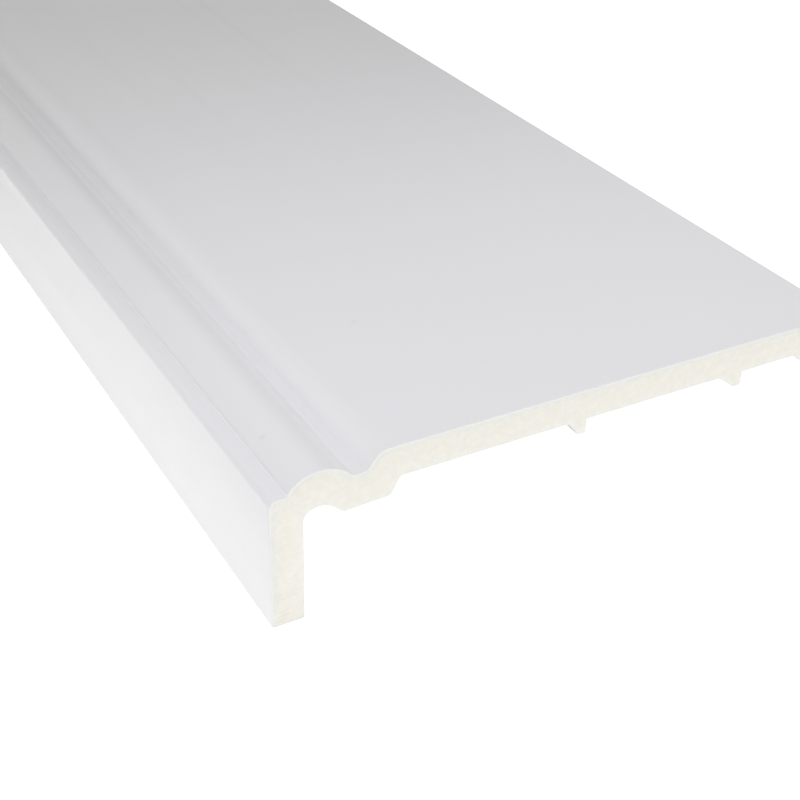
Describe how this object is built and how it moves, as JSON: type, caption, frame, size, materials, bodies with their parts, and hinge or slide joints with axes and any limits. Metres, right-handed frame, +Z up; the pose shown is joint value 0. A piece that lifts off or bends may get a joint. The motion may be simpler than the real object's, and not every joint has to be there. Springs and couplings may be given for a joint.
{
  "type": "ogee capping board",
  "caption": "Long white foamed-plastic capping board with an ogee moulded edge, a leg that hooks under an old fascia, and ribs on its back.",
  "frame": {"origin": "middle of the footprint, on the floor that the board lies on", "axes": "+X along the board towards the sawn end that the picture shows, +Y from the moulded edge and leg to the free edge, +Z up; the flat face looks up, tilted about X as the board comes to rest"},
  "size_m": [2.5, 0.1798, 0.0409],
  "materials": {
    "foamed_plastic": "satin"
  },
  "bodies": {
    "root": {"capping_board": "foamed_plastic"}
  },
  "joints": []
}
